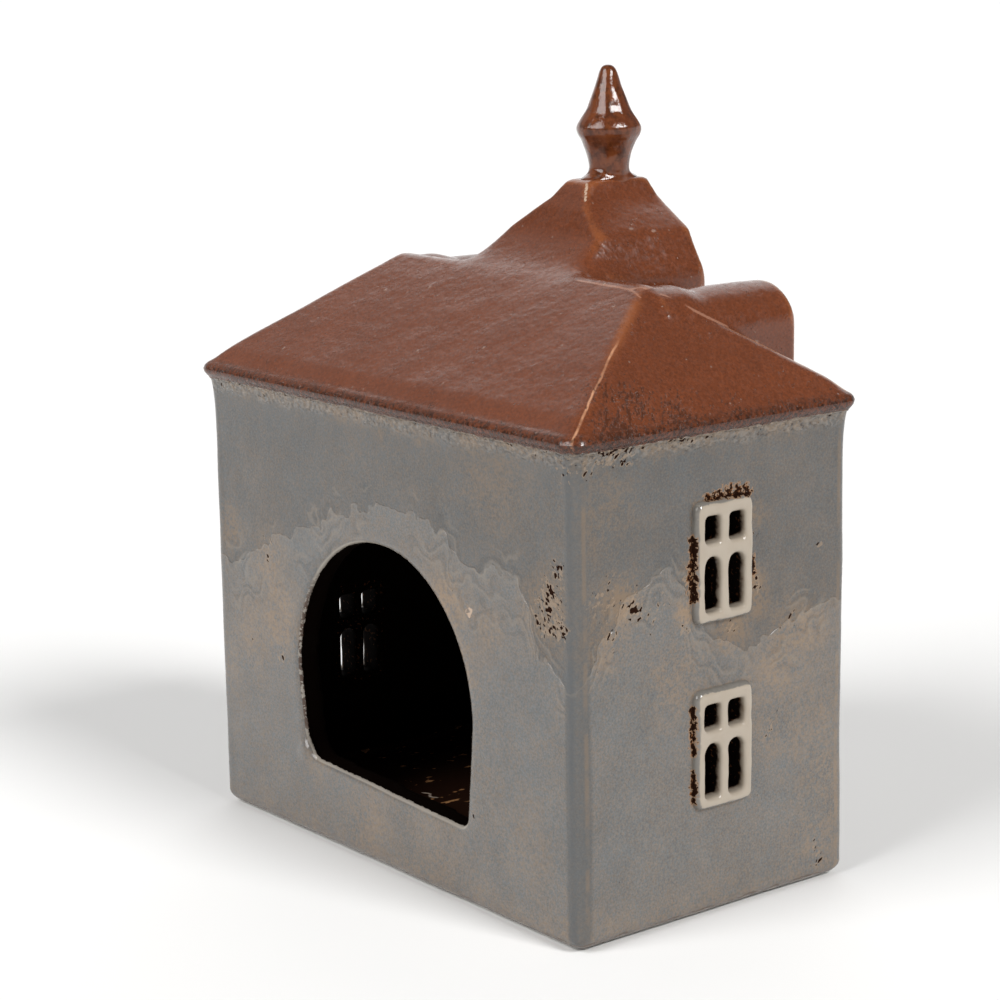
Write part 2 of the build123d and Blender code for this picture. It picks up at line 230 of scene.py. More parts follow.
class WallSettings(bpy.types.PropertyGroup):
    """The grey glaze of the walls."""

    blue_grey: colour("Blue grey", "Where the glaze is thick", (0.0875, 0.091, 0.092))
    warm_grey: colour("Warm grey", "Where the glaze is thin", (0.123, 0.099, 0.079))
    tan: colour("Tan", "Iron stains and the band under the eaves", (0.225, 0.145, 0.080))
    pale: colour("Pale", "Where the glaze rolls up along an edge", (0.290, 0.255, 0.215))
    burnt: colour("Burnt", "Pits and bare spots", (0.016, 0.006, 0.003))
    corner: colour("Corner", "The streak down a corner", (0.070, 0.080, 0.088))
    ripple: colour("Ripple", "Ripples and the edge of the second dip", (0.25, 0.21, 0.165))
    foot_line: colour("Foot line", "Where the foot is wiped bare", (0.07, 0.038, 0.02))
    rims: colour("Rims", "Round the pits", (0.30, 0.21, 0.135))
    scorch: colour("Scorch", "Round burnt spots", (0.33, 0.18, 0.085))
    rust: colour("Rust", "In burnt spots", (0.20, 0.085, 0.035))
    # Pale runs, also standing for painted glints
    drip: colour("Drip", "Pale runs", (0.50, 0.36, 0.26))
    second_dip: share("Second dip", "How much lighter the second dip is", 0.36)


class RoofSettings(bpy.types.PropertyGroup):
    """The red-brown glaze of the roof."""

    terracotta: colour("Terracotta", "The glaze on the slopes", (0.135, 0.036, 0.0125))
    russet: colour("Russet", "Where it is thicker", (0.100, 0.026, 0.009))
    edge: colour("Edge", "Where it breaks on hips and edges", (0.300, 0.095, 0.030))
    # Also painted shade under the eaves' lip
    dark: colour("Dark", "The line along the eaves", (0.020, 0.006, 0.002))
    # A painted highlight down the hips
    hip_highlight: colour("Hips", "The thin line down a hip", (0.62, 0.32, 0.18))
    # Painted highlight lines along the ridge and the far hip
    seams: colour("Seams", "Seams along the ridge", (0.40, 0.20, 0.13))
    pits: colour("Pits", "Pits in the slopes", (0.035, 0.010, 0.003))
    dust: colour("Dust", "Pale specks", (0.33, 0.22, 0.17))


class CastSettings(bpy.types.PropertyGroup):
    """The cream glaze of the windows and the door, and the dark glaze inside."""

    cream: colour("Cream", "Windows and door", (0.385, 0.332, 0.268))
    shade: colour("Shade", "Where the cream glaze is thin", (0.290, 0.225, 0.155))
    # Near black: the dark glaze inside, and painted shade for the room
    room: colour("Room", "The glaze inside", (0.0035, 0.0016, 0.001))
    floor: colour("Floor", "The glaze on the floor inside", (0.022, 0.009, 0.005))
    # Orange flecks, which also stand for painted glints
    floor_flecks_and_glints: colour("Floor flecks", "Flecks on the floor", (0.42, 0.21, 0.09))
    # The pale run on the floor, also a painted glint
    floor_drip: colour("Floor drip", "The run on the floor", (0.50, 0.40, 0.32))
    # Partly the glaze breaking at the arch, partly a painted highlight on its rounded rim
    arch_rim_highlight: colour("Arch rim", "Where it breaks at the arch", (0.34, 0.305, 0.26))
    arch_crumbs: colour("Arch crumbs", "Dark crumbs on that rim", (0.06, 0.026, 0.012))
    # The reveals' brown: partly the glaze running out, partly painted shade
    reveal: colour("Reveal", "Where the cream glaze runs out", (0.12, 0.06, 0.03))
    bare: colour("Bare", "Flecks where there is none", (0.1, 0.04, 0.016))
    scorch: colour("Scorch", "Round burnt spots of a frame", (0.3, 0.165, 0.08))


class TealightSettings(bpy.types.PropertyGroup):
    """The tealight."""

    flutes: IntProperty(name="Flutes", description="Flutes pressed into the cup", default=60)
    flute_depth: length("Flute depth", "How deep the flutes are", 0.14)
    bead_radius: length("Bead radius", "The rolled edge of the cup", 0.5)
    wall: length("Foil", "Thickness of the foil", 0.4)
    wax_colour: colour("Wax", "Paraffin wax", (0.83, 0.80, 0.73))
    cotton: colour("Cotton", "The wick", (0.74, 0.70, 0.60))


class StageSettings(bpy.types.PropertyGroup):
    """Camera, light and floor."""

    lens: FloatProperty(name="Lens", description="Focal length in mm", default=94.613)
    azimuth: FloatProperty(name="Azimuth", description="Degrees from +X", default=-37.9325)
    elevation: FloatProperty(name="Elevation", description="Degrees", default=11.9552)
    roll: FloatProperty(name="Roll", description="Degrees", default=-0.9911)
    distance: length("Distance", "From the aim to the camera", 671.44)
    aim_height: length("Aim height", "Height of the point looked at", 85)
    aim_right: FloatProperty(
        name="Aim right", description="Shift of the aim", default=-3.8765 * MM, unit="LENGTH"
    )
    aim_up: FloatProperty(
        name="Aim up", description="Shift of the aim", default=4.6549 * MM, unit="LENGTH"
    )
    room_glow: share("Room glow", "Brightness of the room above the floor", 0.15, 10)
    key: share("Key", "Strength of the soft box left of the camera", 2.3, 50)
    fill: share("Fill", "Strength of the soft box right of the camera", 2.4, 50)
    bounce: share("Bounce", "Strength of the white wall at the left", 0.21, 50)
    rim: share("Rim", "Strength of the soft box behind", 0.5, 50)
    paper: colour("Paper", "The floor", (0.88, 0.875, 0.865))


class HouseSettings(bpy.types.PropertyGroup):
    """All the settings of the house."""

    clay: PointerProperty(type=ClaySettings)
    walls: PointerProperty(type=WallSettings)
    roof: PointerProperty(type=RoofSettings)
    cast: PointerProperty(type=CastSettings)
    tealight: PointerProperty(type=TealightSettings)
    stage: PointerProperty(type=StageSettings)


# Glaze recipes


class Wire:
    """A number's socket in a recipe, which can be written into a sum."""

    def __init__(self, recipe, socket):
        self.recipe, self.socket = recipe, socket

    def work_out(self, operation, *others):
        """An operation on this number alone or with another one."""
        sockets = dict(enumerate((self, *others)))
        return self.recipe.node("Math", sockets, operation=operation)

    def __rsub__(self, other):
        return self.recipe.node("Math", {0: other, 1: self}, operation="SUBTRACT")

    __add__ = __radd__ = partialmethod(work_out, "ADD")
    __sub__ = partialmethod(work_out, "SUBTRACT")
    __mul__ = __rmul__ = partialmethod(work_out, "MULTIPLY")
    __truediv__ = partialmethod(work_out, "DIVIDE")
    __abs__ = partialmethod(work_out, "ABSOLUTE")
    fraction = partialmethod(work_out, "FRACT")
    most = partialmethod(work_out, "MAXIMUM")
    least = partialmethod(work_out, "MINIMUM")


class Recipe:
    """The node tree of one finish, worked out in millimetres of the rest pose."""

    def __init__(self, owner, coordinates="Object", scale=1 / MM):
        owner.use_nodes = True
        self.owner, self.tree = owner, owner.node_tree
        self.tree.nodes.clear()
        place = self.node("TexCoord", output=coordinates)
        self.place = self.node("VectorMath", {0: place, "Scale": scale}, operation="SCALE")
        self.x, self.y, self.z = (
            self.node("SeparateXYZ", {0: self.place}, output=axis) for axis in "XYZ"
        )

    def node(self, kind, sockets=None, output=0, **settings):
        """Adds a node with its settings and sockets, and gives one of its outputs."""
        made = self.tree.nodes.new("ShaderNode" + kind)
        for name, value in settings.items():
            setattr(made, name, value)
        for name, value in (sockets or {}).items():
            if isinstance(value, Wire):
                self.tree.links.new(value.socket, made.inputs[name])
            elif made.inputs[name].type == "RGBA":
                made.inputs[name].default_value = (*value, 1)
            else:
                made.inputs[name].default_value = value
        return Wire(self, made.outputs[output]) if made.outputs else made

    def mix(self, first, second, amount, blend="MIX"):
        """A colour between two, or their blend."""
        sockets = {0: amount, 6: first, 7: second}
        return self.node("Mix", sockets, output=2, data_type="RGBA", blend_type=blend)

    def smooth(self, value, start, end):
        """A soft step from 0 at start to 1 at end."""
        sockets = {0: value, 1: start, 2: end}
        return self.node("MapRange", sockets, interpolation_type="SMOOTHSTEP")

    def fade(self, value, start, end):
        """A soft step from 1 at start to 0 at end."""
        return 1 - self.smooth(value, start, end)

    def moved(self, place, shift, stretch):
        """A place, stretched and shifted, so that two textures differ."""
        stretched = self.node("VectorMath", {0: place, 1: stretch}, operation="MULTIPLY")
        return self.node("VectorMath", {0: stretched, 1: (shift,) * 3}, operation="ADD")

    def slashes(self, size, shift, amount, rare=0.78, stretch=(1, 1, 0.42)):
        """Ragged marks that lean towards the corners, more of them where the amount is high."""
        turn = {"Vector": self.place, "Axis": (0.71, 0.71, 0), "Angle": LEAN}
        leant = self.node("VectorRotate", turn, rotation_type="AXIS_ANGLE")
        vector = self.moved(leant, shift, stretch)
        noise = self.node("TexNoise", {"Vector": vector, "Scale": 1 / size, "Detail": 1.5})
        return self.smooth(noise + amount * 0.27, rare, rare + 0.03)

    def cloud(self, size, shift, detail=2.0, roughness=0.5, stretch=(1, 1, 1)):
        """Soft random clouds of a size in millimetres."""
        sockets = {
            "Vector": self.moved(self.place, shift, stretch),
            "Scale": 1 / size,
            "Detail": detail,
            "Roughness": roughness,
        }
        return self.node("TexNoise", sockets)

    def stray(self, reach, *cloud):
        """A cloud that strays from 0 to both sides, by half its reach at most."""
        return (self.cloud(*cloud) - 0.5) * reach

    def specks(self, size, shift, radius, stretch=(1, 1, 1)):
        """Round specks in cells of a size in millimetres, 1 at their middles."""
        vector = self.moved(self.place, shift, stretch)
        near = self.node("TexVoronoi", {"Vector": vector, "Scale": 1 / size})
        return self.fade(near, radius * 0.5, radius)

    def painted(self, name):
        """A number painted on the mesh."""
        return self.node("Attribute", output="Fac", attribute_name=name)

    def relief(self, height):
        """A normal bent by a height in millimetres."""
        return self.node("Bump", {"Height": height, "Distance": MM, "Strength": 1.0})

    def finish(self, sockets, bare=None, bareness=None):
        """Ends the recipe in a glossy shader, matt where it is bare."""
        shader = self.node("BsdfPrincipled", sockets)
        if bare:
            matt = self.node("BsdfPrincipled", {"Roughness": 0.7, "Specular IOR Level": 0.02, **bare})
            shader = self.node("MixShader", {0: bareness, 1: shader, 2: matt})
        self.node("OutputMaterial", {"Surface": shader})
        return self.owner


def new_recipe(name):
    """The recipe of a new material."""
    return Recipe(bpy.data.materials.new(name))


def wall_colours(glaze, walls):
    """The mottled grey glaze, as a colour and a height."""
    broad = glaze.smooth(glaze.cloud(27, 11, 2), 0.36, 0.64)
    patch = glaze.cloud(4.6, 31, 4, 0.65)
    grain = glaze.cloud(0.62, 53, 2, 0.7)
    speckle = glaze.cloud(1.15, 63, 2, 0.6)
    warmth = 0.3 + broad * 0.22 + (patch - 0.5) * 0.9 + (grain - 0.5) * 2.3 + (speckle - 0.5) * 1.1
    tone = glaze.mix(walls.blue_grey, walls.warm_grey, warmth.most(0).least(1))
    depth = 1 + (glaze.cloud(0.5, 73, 2, 0.7) - 0.5) + glaze.stray(0.35, 9, 83, 3)
    tone = glaze.mix(tone, depth, 1.0, "MULTIPLY")

    # Iron stains, strongest under the eaves and above the foot
    under_eaves = glaze.smooth(glaze.z + glaze.stray(12, 6, 71, 3), wall_top - 7, wall_top)
    foot_band = glaze.fade(glaze.z + glaze.stray(16, 8, 77, 3), 1, 14)
    stained = glaze.painted("stained").most(under_eaves * 0.8).most(foot_band * 0.45)
    flecks = glaze.smooth(glaze.cloud(1.1, 101, 3, 0.65) + stained * 0.16, 0.52, 0.66)
    haze = glaze.smooth(glaze.cloud(5, 91, 3, 0.6) + stained * 0.2, 0.48, 0.7)
    tone = glaze.mix(tone, walls.tan, stained * (haze * 0.24 + flecks * 0.46))

    # Glaze runs blue down the upright corners, which stand dark beside the second dip
    from_x = half_length - abs(glaze.x)
    from_y = half_depth - abs(glaze.y)
    wander = glaze.stray(2, 9, 131, 1, 0.5, (1, 1, 0.25))
    corner = from_x.most(from_y) + wander
    run = glaze.fade(corner, 2.4, 4.2)
    post = glaze.smooth(glaze.x - glaze.y, 60, 100)
    tone = glaze.mix(tone, walls.blue_grey, run * (0.15 + post * 0.3))
    streak = glaze.smooth(from_x + wander, 0.3, 1.6) * glaze.fade(from_x + wander, 1.8, 4.4)
    streak = streak * glaze.fade(from_y, 0.8, 2.4) * post
    streak = streak * (0.4 + 0.6 * glaze.smooth(glaze.cloud(14, 133, 1, 0.5, (1, 1, 0.5)), 0.4, 0.6))
    tone = glaze.mix(tone, walls.corner, streak * 0.5)
    thread = glaze.fade(abs(from_y - 2.4 + wander * 0.5), 0.25, 0.9)
    thread = thread * glaze.fade(from_x, 0.8, 1.6) * glaze.smooth(glaze.cloud(6, 137, 2), 0.35, 0.6)
    tone = glaze.mix(tone, walls.tan, thread * 0.35)

    # The second dip ends in scallops
    above = glaze.painted("above_dip") + glaze.stray(10, 5.5, 151, 1.5)
    dipped = glaze.fade(above, -0.3, 0.3) * glaze.smooth(corner + 6 * (1 - post), 3.0, 4.4)
    tone = glaze.mix(tone, 1 + walls.second_dip * dipped, 1.0, "MULTIPLY")
    roll = glaze.smooth(above, -1.2, -0.3) * glaze.fade(above, -0.2, 0.3)

    # Ripples follow its edge like contour lines
    level = (above / 5 + glaze.cloud(7, 163, 0.5) * 3).fraction()
    near = glaze.smooth(above, -17, -9) * glaze.fade(above, 4, 9)
    near = near * glaze.smooth(glaze.cloud(10, 167, 1), 0.48, 0.58) * glaze.smooth(corner, 3, 4)
    line = glaze.fade(abs(level - 0.5), 0.03, 0.22) * near
    step = glaze.smooth(level, 0.5, 0.9) * near
    tone = glaze.mix(tone, 1 - step * 0.15, 1.0, "MULTIPLY")
    tone = glaze.mix(tone, walls.ripple, (line * 0.26 + roll * 0.16).least(0.5))

    # Foot, wiped bare
    foot = glaze.z + glaze.stray(3, 5, 171, 3)
    tone = glaze.mix(tone, walls.pale, glaze.fade(foot, 0.8, 1.4) * 0.3)
    tone = glaze.mix(tone, walls.foot_line, glaze.fade(abs(foot - 1.7), 0.15, 0.6) * 0.7)

    height = (
        patch * 0.12 + broad * 0.1 + glaze.cloud(1.5, 191, 2) * 0.07 + grain * 0.018
        + dipped * 0.09 + roll * 0.05 + run * 0.06
    )
    return tone, height


def roof_colours(glaze, roof):
    """The red-brown glaze, as a colour and a height."""
    broad = glaze.smooth(glaze.cloud(18, 211, 3), 0.36, 0.64)
    grain = glaze.cloud(0.6, 231, 2, 0.7)
    tone = glaze.mix(roof.terracotta, roof.russet, broad * 0.35)
    depth = 1 + (grain - 0.5) * 1.5 + glaze.stray(0.3, 2.2, 237, 3)
    tone = glaze.mix(tone, depth, 1.0, "MULTIPLY")

    # The glaze breaks to orange along edges; the thin line down the hips is a painted highlight
    worn = glaze.painted("worn")
    break_line = glaze.smooth(worn + (grain - 0.5) * 0.3, 0.35, 1.0)
    break_line = break_line * glaze.smooth(glaze.z, lip_top + 1.5, lip_top + 5)
    tone = glaze.mix(tone, roof.edge, break_line * 0.45)
    side_y = (glaze.y - ridge_back) / (eave_reach_y - ridge_back)
    back_y = (ridge_back - glaze.y) / (eave_reach_y + ridge_back)
    hip_x = ridge_end + (eave_reach_x - ridge_end) * side_y.most(back_y)
    off_hip = abs(abs(glaze.x) - hip_x + 0.3 + glaze.stray(1.2, 7, 251))
    sloping = glaze.fade(glaze.z, ridge_top - 3, ridge_top - 1)
    hip = glaze.fade(off_hip, 0.12, 0.5) * sloping
    hip = hip * (0.4 + 0.6 * glaze.smooth(glaze.cloud(5, 257, 2), 0.36, 0.6))
    hip = hip * glaze.fade(glaze.z + glaze.stray(8, 6, 259), ridge_top - 12, ridge_top - 7)
    tone = glaze.mix(tone, roof.hip_highlight, hip * 0.7)
    # A broad band beside the upper hips on the arch's side, in the edge colour: a painted highlight
    band = glaze.fade(off_hip, 0.4, 2.6) * glaze.smooth(glaze.z, ridge_top - 16, ridge_top - 6)
    band = band * glaze.fade(glaze.y, -4, 6)
    tone = glaze.mix(tone, roof.edge, band * sloping * 0.34)
    # Painted highlight lines along the ridge and the far hip
    seam = glaze.smooth(glaze.painted("seam"), 0.7, 0.9)
    tone = glaze.mix(tone, roof.seams, seam * 0.55)

    # Darker and pitted towards the eaves; the dark line at the lip is partly the glaze's edge, partly
    # painted shade under it
    low = glaze.fade(glaze.z + glaze.stray(3.5, 2.2, 271, 3, 0.6), lip_top - 2, lip_top + 1)
    low = low * (0.3 + 0.6 * glaze.smooth(glaze.cloud(0.8, 277, 2), 0.44, 0.58))
    tone = glaze.mix(tone, roof.dark, low)
    amount = glaze.painted("pitted").most(glaze.fade(glaze.z, lip_top - 1, lip_top + 2) * 0.7)
    pits = glaze.slashes(0.95, 291, amount, 0.81).most(glaze.slashes(0.6, 297, amount, 0.825))
    tone = glaze.mix(tone, roof.pits, pits * 0.6)
    dust = glaze.specks(4.2, 311, 0.075).most(glaze.specks(7, 317, 0.08, (1, 0.6, 1)))
    tone = glaze.mix(tone, roof.dust, dust * 0.5)
    height = (
        broad * 0.14 + glaze.cloud(1.7, 331, 2) * 0.1 + grain * 0.03 - pits * 0.1
        + dust * 0.08
    )
    return tone, height


def shell_glaze(name, walls, roof, cast):
    """The glazes of the walls, the roof and the room, which meet on the shell."""
    glaze = new_recipe(name)
    wall_tone, wall_height = wall_colours(glaze, walls)
    roof_tone, roof_height = roof_colours(glaze, roof)

    # Pits burst through the wall's glaze, with pale rims
    under_lip = glaze.smooth(glaze.z, wall_top - 6, wall_top - 0.5)
    under_lip = under_lip * glaze.smooth(glaze.cloud(12, 351), 0.4, 0.6)
    amount = glaze.painted("pitted").most(under_lip * 0.5)
    pits = glaze.slashes(1.5, 371, amount, 0.815).most(glaze.slashes(0.9, 391, amount, 0.83))
    rims = glaze.slashes(1.5, 371, amount, 0.75).most(glaze.slashes(1.0, 401, amount, 0.775))
    pits = pits * glaze.smooth(amount, 0.03, 0.15)
    rims = rims * glaze.smooth(amount, 0.15, 0.5)
    wall_tone = glaze.mix(wall_tone, walls.rims, rims * 0.5)

    # The glaze crawls into pale and dark beads just under the roof's glaze
    crawl = glaze.smooth(glaze.z + glaze.stray(4, 5, 353, 2), wall_top - 4.4, wall_top - 3)
    beads = glaze.cloud(1.5, 357, 1.5, 0.5, (1, 1, 1.5))
    wall_tone = glaze.mix(wall_tone, walls.pale, crawl * glaze.smooth(beads, 0.5, 0.6) * 0.26)
    gaps = crawl * glaze.fade(beads, 0.32, 0.38)
    wall_tone = glaze.mix(wall_tone, walls.burnt, gaps * 0.55)
    wall_height = wall_height + crawl * beads * 0.6

    # Burnt crusts beside the windows, with tan edges
    crust = glaze.cloud(1.2, 451, 3, 0.6) + glaze.painted("burnt") * 0.3
    beside = glaze.smooth(glaze.painted("burnt"), 0.05, 0.3)
    scorch = glaze.smooth(crust, 0.58, 0.68) * beside
    burnt = glaze.smooth(crust, 0.70, 0.73) * beside
    wall_tone = glaze.mix(wall_tone, walls.scorch, scorch * 0.7)

    line = glaze.z + glaze.stray(1.4, 2.4, 491, 3, 0.6)
    roofed = glaze.smooth(line, glaze_line, glaze_line + 0.2)
    tone = glaze.mix(wall_tone, roof_tone, roofed)
    # Pale runs of glaze, which also stand for painted glints
    drip = glaze.smooth(glaze.painted("drip"), 0.7, 0.9)
    tone = glaze.mix(tone, walls.drip, drip * 0.8)
    height = wall_height + (roof_height - wall_height + 0.15) * roofed - pits * 0.16 - burnt * 0.1
    height = height + drip * 0.12

    # The dark glaze inside reaches the rim of the arch, whose pale edge is partly the glaze breaking and
    # partly a painted highlight
    behind = glaze.y + half_depth + glaze.stray(1.3, 1.7, 511, 4, 0.65)
    arch_zone = (
        glaze.fade(abs(glaze.x), 60, 62)
        * glaze.fade(glaze.z, 90, 92)
        * glaze.fade(glaze.y, -inner_half_depth, -inner_half_depth + 2)
        * glaze.smooth(glaze.z, 4, 5)
    )
    # A painted highlight on the arch's rounded rim, over the glaze's break
    rim = glaze.smooth(glaze.painted("worn"), 0.25, 0.6) * (1 - glaze.painted("inside")) * arch_zone
    rim = rim * glaze.smooth(glaze.y + half_depth, -0.1, 0.15)
    crumbs = glaze.fade(glaze.x, -35, -26) * glaze.smooth(glaze.z, 25, 31)
    crumbs = crumbs * glaze.smooth(glaze.cloud(1.1, 517, 3), 0.42, 0.52)
    tone = glaze.mix(tone, glaze.mix(cast.arch_rim_highlight, cast.arch_crumbs, crumbs), rim * 0.85)
    # Inside, the room's colour is near black and its glaze is made matt: partly the dark glaze, partly
    # painted shade
    dark_rim = glaze.smooth(behind, 0.6, 0.85) * arch_zone
    inside = glaze.smooth(glaze.painted("inside").most(dark_rim), 0.4, 0.6)
    on_floor = glaze.fade(glaze.z, 6.6, 8)
    # Orange flecks on the floor, which also stand for painted glints
    flecks = glaze.smooth(glaze.cloud(2.1, 531, 2, 0.6, (0.8, 0.4, 1)), 0.635, 0.685) * on_floor
    room = glaze.mix(cast.room, cast.floor, on_floor * 0.8)
    room = glaze.mix(room, cast.floor_flecks_and_glints, flecks)
    # The pale run on the floor, also a painted glint
    room = glaze.mix(room, cast.floor_drip, drip)
    holes = pits.most(burnt) * (1 - roofed)
    rust = glaze.smooth(glaze.cloud(0.75, 461, 2), 0.56, 0.62) * glaze.fade(crust, 0.76, 0.86)
    bare_tone = glaze.mix(walls.burnt, walls.rust, rust * burnt)
    bare_tone = glaze.mix(bare_tone, room, inside)
    relief = glaze.relief(height)
    return glaze.finish(
        {
            "Base Color": glaze.mix(tone, room, inside),
            "Roughness": 0.12 + 0.06 * roofed + grainy(glaze) * 0.14,
            "IOR": 1.5,
            "Normal": relief,
        },
        bare={"Base Color": bare_tone, "Normal": relief},
        # Matt inside: painted shade for the room, a little less on the floor
        bareness=holes.most(inside * (0.97 - on_floor * 0.15)),
    )


def dimmed(value, share_left):
    """A darker colour."""
    return tuple(share_left * part for part in value)


def grainy(glaze):
    """Small changes of gloss."""
    return glaze.smooth(glaze.cloud(1.4, 541, 3), 0.35, 0.65)


def cream_glaze(name, walls, cast, ragged=1.8):
    """Cream glaze on a cast frame, with the wall's grey glaze pooled round it."""
    glaze = new_recipe(name)
    cloud = glaze.smooth(glaze.cloud(6, 611, 3), 0.35, 0.7)
    tone = glaze.mix(cast.cream, cast.shade, cloud * 0.18 + 0.03)
    proud = glaze.painted("proud")
    margin = glaze.painted("margin")

    # Grey glaze laps over the outer sides; the panes' reveals are painted dark and matt, partly the dark
    # glaze inside, partly painted shade
    lap = margin + glaze.stray(1.8, 2.6, 631, 2)
    side = glaze.fade(lap, 0.3, 0.6) * glaze.fade(proud, 1.85, 2.1)
    side = side.most(glaze.fade(margin, 0.1, 0.4) * glaze.fade(proud, 0.9, 1.3))
    grey = glaze.mix(walls.blue_grey, walls.pale, glaze.cloud(1.4, 651, 3) * 0.5)
    tone = glaze.mix(tone, grey, side * 0.85)
    # Upward faces keep their cream deeper: painted light on the sills
    deep = proud + glaze.stray(ragged, 1.6, 671, 3) + glaze.painted("ledge") * 1.6
    # The left end wall's windows are painted darker in their reveals: painted shade
    deep = deep - glaze.smooth(0 - glaze.x, half_length - 15, half_length - 5) * 1.1
    within = glaze.smooth(margin, 0.8, 1.4)
    thin = glaze.fade(deep, -0.1, 0.9) * within.most(glaze.fade(proud, -3.5, -2.5))
    brown = glaze.fade(deep, 0.3, 1.5) * within
    tone = glaze.mix(tone, cast.reveal, brown * 0.6)
    flecks = glaze.smooth(glaze.cloud(1.0, 683, 3), 0.6, 0.68)
    crust = glaze.cloud(1.2, 451, 3, 0.6) + glaze.painted("burnt") * 0.3
    outer = glaze.fade(margin, 0.3, 0.8) * glaze.fade(proud, 1.7, 2.0)
    outer = outer * glaze.smooth(glaze.painted("burnt"), 0.05, 0.3)
    burnt = glaze.smooth(crust, 0.70, 0.73) * outer
    scorch = glaze.smooth(crust, 0.58, 0.66) * outer
    tone = glaze.mix(tone, cast.scorch, scorch * 0.7)
    bare_tone = glaze.mix(glaze.mix(cast.room, cast.bare, flecks * 0.7), walls.burnt, burnt)
    relief = glaze.relief(cloud * 0.05 + glaze.cloud(1.8, 691) * 0.04)
    return glaze.finish(
        {"Base Color": tone, "Roughness": 0.08, "IOR": 1.5, "Normal": relief},
        bare={"Base Color": bare_tone, "Normal": relief},
        bareness=thin.most(burnt),
    )


def finial_glaze(name, roof):
    """The roof's glaze, thick and running on the finial."""
    glaze = new_recipe(name)
    run = glaze.smooth(glaze.cloud(2.6, 711, 4, 0.65, (1, 1, 0.6)), 0.40, 0.62)
    tone = glaze.mix(roof.edge, roof.russet, 0.78 + run * 0.22)
    dark = glaze.smooth(glaze.cloud(2.6, 721, 4, 0.65), 0.46, 0.66)
    tone = glaze.mix(tone, roof.dark, dark * 0.6)
    height = run * 0.03 + glaze.cloud(3, 751, 0, 0.5, (1, 1, 0.4)) * 0.14
    return glaze.finish({
        "Base Color": tone,
        "Roughness": 0.07 + 0.05 * run,
        "IOR": 1.45,
        "Normal": glaze.relief(height),
    })


def foil(name):
    """Thin pressed aluminium."""
    glaze = new_recipe(name)
    drawn = glaze.cloud(1.2, 811, 2, 0.5, (1, 1, 0.08))
    tone = glaze.mix((0.80, 0.80, 0.82), (0.62, 0.62, 0.64), drawn)
    return glaze.finish({
        "Base Color": tone,
        "Metallic": 1.0,
        "Roughness": 0.2 + 0.18 * drawn,
        "Normal": glaze.relief(drawn * 0.02),
    })


def paraffin(name, white):
    """Poured wax."""
    glaze = new_recipe(name)
    frost = glaze.smooth(glaze.cloud(4, 831, 4), 0.35, 0.7)
    tone = glaze.mix(white, dimmed(white, 0.93), frost)
    return glaze.finish({
        "Base Color": tone,
        "Roughness": 0.34 + 0.14 * frost,
        "IOR": 1.44,
        "Subsurface Weight": 0.25,
        "Subsurface Radius": (0.004, 0.0035, 0.003),
        "Normal": glaze.relief(frost * 0.04 + glaze.cloud(1.1, 851) * 0.02),
    })


def cotton(name, yarn):
    """Waxed cotton braid."""
    glaze = new_recipe(name)
    fibre = glaze.cloud(0.22, 871, 2, 0.5, (1, 1, 0.3))
    tone = glaze.mix(yarn, dimmed(yarn, 0.6), fibre)
    return glaze.finish({
        "Base Color": tone,
        "Roughness": 0.65,
        "Normal": glaze.relief(fibre * 0.06),
    })


def tinplate(name):
    """The steel of the wick's sustainer."""
    glaze = new_recipe(name)
    brushed = glaze.cloud(0.6, 891, 2, 0.5, (1, 0.1, 1))
    return glaze.finish({
        "Base Color": glaze.mix((0.62, 0.61, 0.6), (0.42, 0.41, 0.4), brushed),
        "Metallic": 1.0,
        "Roughness": 0.3 + 0.15 * brushed,
    })


def paper(name, tint):
    """The pale floor that the house stands on."""
    glaze = new_recipe(name)
    tone = glaze.mix(tint, dimmed(tint, 0.985), glaze.cloud(90, 911))
    return glaze.finish({"Base Color": tone, "Roughness": 0.9})


# Clay work


def smooth_line(knots, steps):
    """Points of a smooth line through some knots, each a pair of numbers."""
    knots = [np.array(knot, float) for knot in knots]
    ends = [2 * knots[0] - knots[1], *knots, 2 * knots[-1] - knots[-2]]
    line = []
    for before, start, end, after in zip(ends, ends[1:], ends[2:], ends[3:]):
        for step in range(steps):
            t = step / steps
            line.append(0.5 * (
                2 * start + (end - before) * t + (2 * before - 5 * start + 4 * end - after) * t * t
                + (3 * start - before - 3 * end + after) * t ** 3
            ))
    return line + [knots[-1]]


def show(name, mesh):
    """A new object with this mesh."""
    made = bpy.data.objects.new(name, mesh)
    bpy.context.scene.collection.objects.link(made)
    return made


def modelled(name, form):
    """A new object of a form, which is used up."""
    mesh = bpy.data.meshes.new(name)
    form.to_mesh(mesh)
    form.free()
    return show(name, mesh)


def skinned(name, rings):
    """A closed object over rings of points, with flat ends."""
    form = bmesh.new()
    rings = [[form.verts.new(point) for point in ring] for ring in rings]
    for ring, after in zip(rings, rings[1:]):
        for side in range(len(ring)):
            other = (side + 1) % len(ring)
            form.faces.new((ring[side], ring[other], after[other], after[side]))
    for end in (rings[0][::-1], rings[-1]):
        form.faces.new(end)
    bmesh.ops.recalc_face_normals(form, faces=form.faces)
    for face in form.faces:
        face.smooth = len(face.verts) == 4
    return modelled(name, form)


def clay_copy(node, name):
    """A new object with a copy of a node's mesh, its seams closed."""
    form = bmesh.new()
    form.from_mesh(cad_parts[node].data)
    bmesh.ops.remove_doubles(form, verts=form.verts, dist=MM * MM)
    return modelled(name, form)


def fire(piece):
    """Fixes a piece's modifiers into its mesh."""
    ready = piece.evaluated_get(bpy.context.evaluated_depsgraph_get())
    mesh = bpy.data.meshes.new_from_object(ready)
    piece.modifiers.clear()
    piece.data = mesh
    mesh.name = piece.name
    return piece


